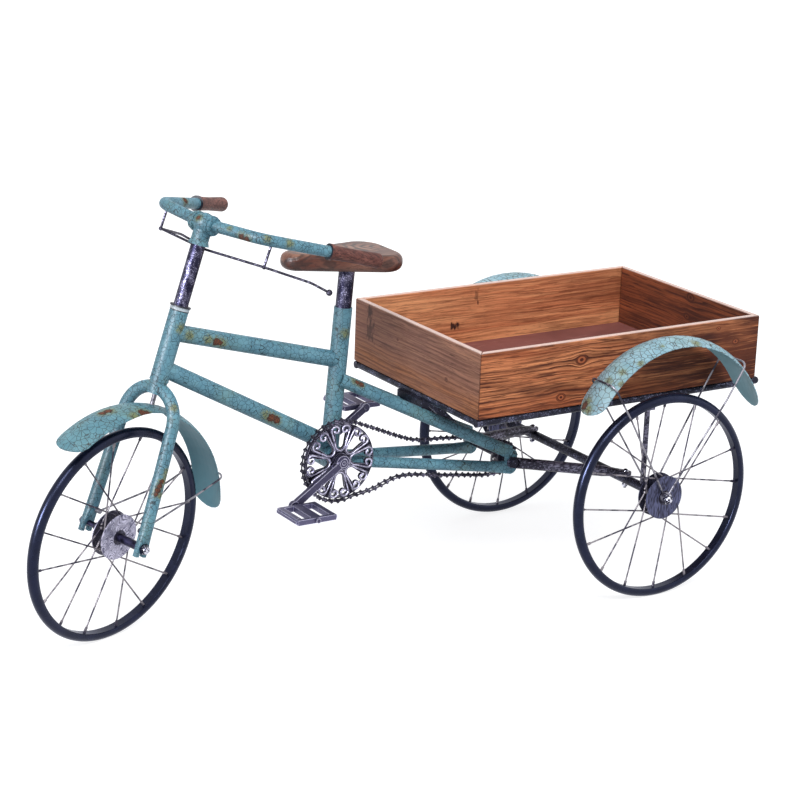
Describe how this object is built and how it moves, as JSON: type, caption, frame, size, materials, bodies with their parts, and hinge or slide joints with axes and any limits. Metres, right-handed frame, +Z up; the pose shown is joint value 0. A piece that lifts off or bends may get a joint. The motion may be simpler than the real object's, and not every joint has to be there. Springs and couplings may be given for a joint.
{
  "type": "bicycle planter",
  "caption": "Ornamental bicycle whose rear half is a two-wheeled cart with an open wooden tray for potted plants; wheels, steering, cranks and pedals turn.",
  "frame": {"origin": "middle of the footprint, on the ground", "axes": "+X towards the tray end, +Y away from the chain side, +Z up; the steered wheel is at low X"},
  "size_m": [1.3911, 0.5778, 0.7303],
  "materials": {
    "crackle_paint": "satin crackled paint, worn to rust at chips",
    "hammered_iron": "hammered dark grey with rubbed edges",
    "dark_steel": "dark drawn wire",
    "bright_nuts": "polished",
    "scratched_hub": "scratch-brushed",
    "tyre_hoop": "satin blue-black",
    "antique_casting": "antique silver, dark in the hollows",
    "chain_links": "dark",
    "pine_board": "stained and waxed",
    "grey_pine_board": "stained and waxed, greyer",
    "floor_panel": "smooth, painted red-brown",
    "saddle_wood": "waxed burr",
    "grip_wood": "waxed, with dark collars"
  },
  "bodies": {
    "frame": {"head_tube": "crackle_paint", "top_tube": "crackle_paint", "down_tube": "crackle_paint", "seat_tube": "crackle_paint", "bottom_bracket": "crackle_paint", "seat_post": "hammered_iron", "saddle": "saddle_wood", "seat_stay_near": "crackle_paint", "seat_stay_far": "crackle_paint", "chain_stay_near": "crackle_paint", "chain_stay_far": "crackle_paint", "jackshaft": "dark_steel", "stay_bolts": "bright_nuts", "drawbar_near": "hammered_iron", "drawbar_far": "hammered_iron", "axle_beam": "hammered_iron", "rear_axle": "dark_steel", "rear_axle_nuts": "bright_nuts", "tray_struts": "hammered_iron", "tray_straps": "hammered_iron", "tray_rail_near": "hammered_iron", "tray_rail_far": "hammered_iron", "tray_front_bar": "hammered_iron", "tray_crossbars": "hammered_iron", "board_near": "pine_board", "board_far": "pine_board", "board_front": "grey_pine_board", "board_rear": "pine_board", "floor_panel": "floor_panel", "fender_near": "crackle_paint", "fender_far": "crackle_paint", "rear_fender_stays": "dark_steel", "chain": "chain_links"},
    "steering": {"fork_crown": "crackle_paint", "fork_leg_near": "crackle_paint", "fork_leg_far": "crackle_paint", "stem": "hammered_iron", "bar_clamp": "crackle_paint", "handlebar": "crackle_paint", "grip_near": "grip_wood", "grip_far": "grip_wood", "brake_rod": "dark_steel", "front_fender": "crackle_paint", "front_fender_stay": "dark_steel", "front_axle": "bright_nuts"},
    "front_wheel": {"front_hoop": "tyre_hoop", "front_spokes": "dark_steel", "front_hub": "scratched_hub"},
    "rear_wheel_near": {"near_hoop": "tyre_hoop", "near_spokes": "dark_steel", "near_hub": "scratched_hub"},
    "rear_wheel_far": {"far_hoop": "tyre_hoop", "far_spokes": "dark_steel", "far_hub": "scratched_hub"},
    "crankset": {"chainring": "antique_casting", "cranks": "antique_casting", "crank_spindle": "antique_casting"},
    "near_pedal": {"pedal_near": "antique_casting"},
    "far_pedal": {"pedal_far": "antique_casting"},
    "rear_sprocket": {"sprocket": "antique_casting"}
  },
  "joints": [
    {"name": "steering_turn", "type": "hinge", "parent": "frame", "child": "steering", "pos_m": [-0.40976, 0, 0.51335], "axis": [0.3007, 0, 0.9537], "range_deg": [-40, 2]},
    {"name": "front_wheel_spin", "type": "hinge", "parent": "steering", "child": "front_wheel", "pos_m": [-0.512, 0, 0.18909], "axis": [-0.3105, 0.9455, 0.0979], "continuous": true},
    {"name": "near_wheel_spin", "type": "hinge", "parent": "frame", "child": "rear_wheel_near", "pos_m": [0.445, -0.252, 0.19], "axis": [0, 1, 0], "continuous": true},
    {"name": "far_wheel_spin", "type": "hinge", "parent": "frame", "child": "rear_wheel_far", "pos_m": [0.445, 0.252, 0.19], "axis": [0, 1, 0], "continuous": true},
    {"name": "crank_spin", "type": "hinge", "parent": "frame", "child": "crankset", "pos_m": [-0.098, 0, 0.27], "axis": [0, 1, 0], "continuous": true},
    {"name": "near_pedal_spin", "type": "hinge", "parent": "crankset", "child": "near_pedal", "pos_m": [-0.20157, -0.0617, 0.2114], "axis": [0, 1, 0], "continuous": true},
    {"name": "far_pedal_spin", "type": "hinge", "parent": "crankset", "child": "far_pedal", "pos_m": [0.00557, 0.0535, 0.3286], "axis": [0, 1, 0], "continuous": true},
    {"name": "sprocket_spin", "type": "hinge", "parent": "frame", "child": "rear_sprocket", "pos_m": [0.246, -0.036, 0.227], "axis": [0, 1, 0], "continuous": true}
  ],
  "couplings": [
    {"joint": "sprocket_spin", "follows": "crank_spin", "ratio": 2.5714}
  ]
}
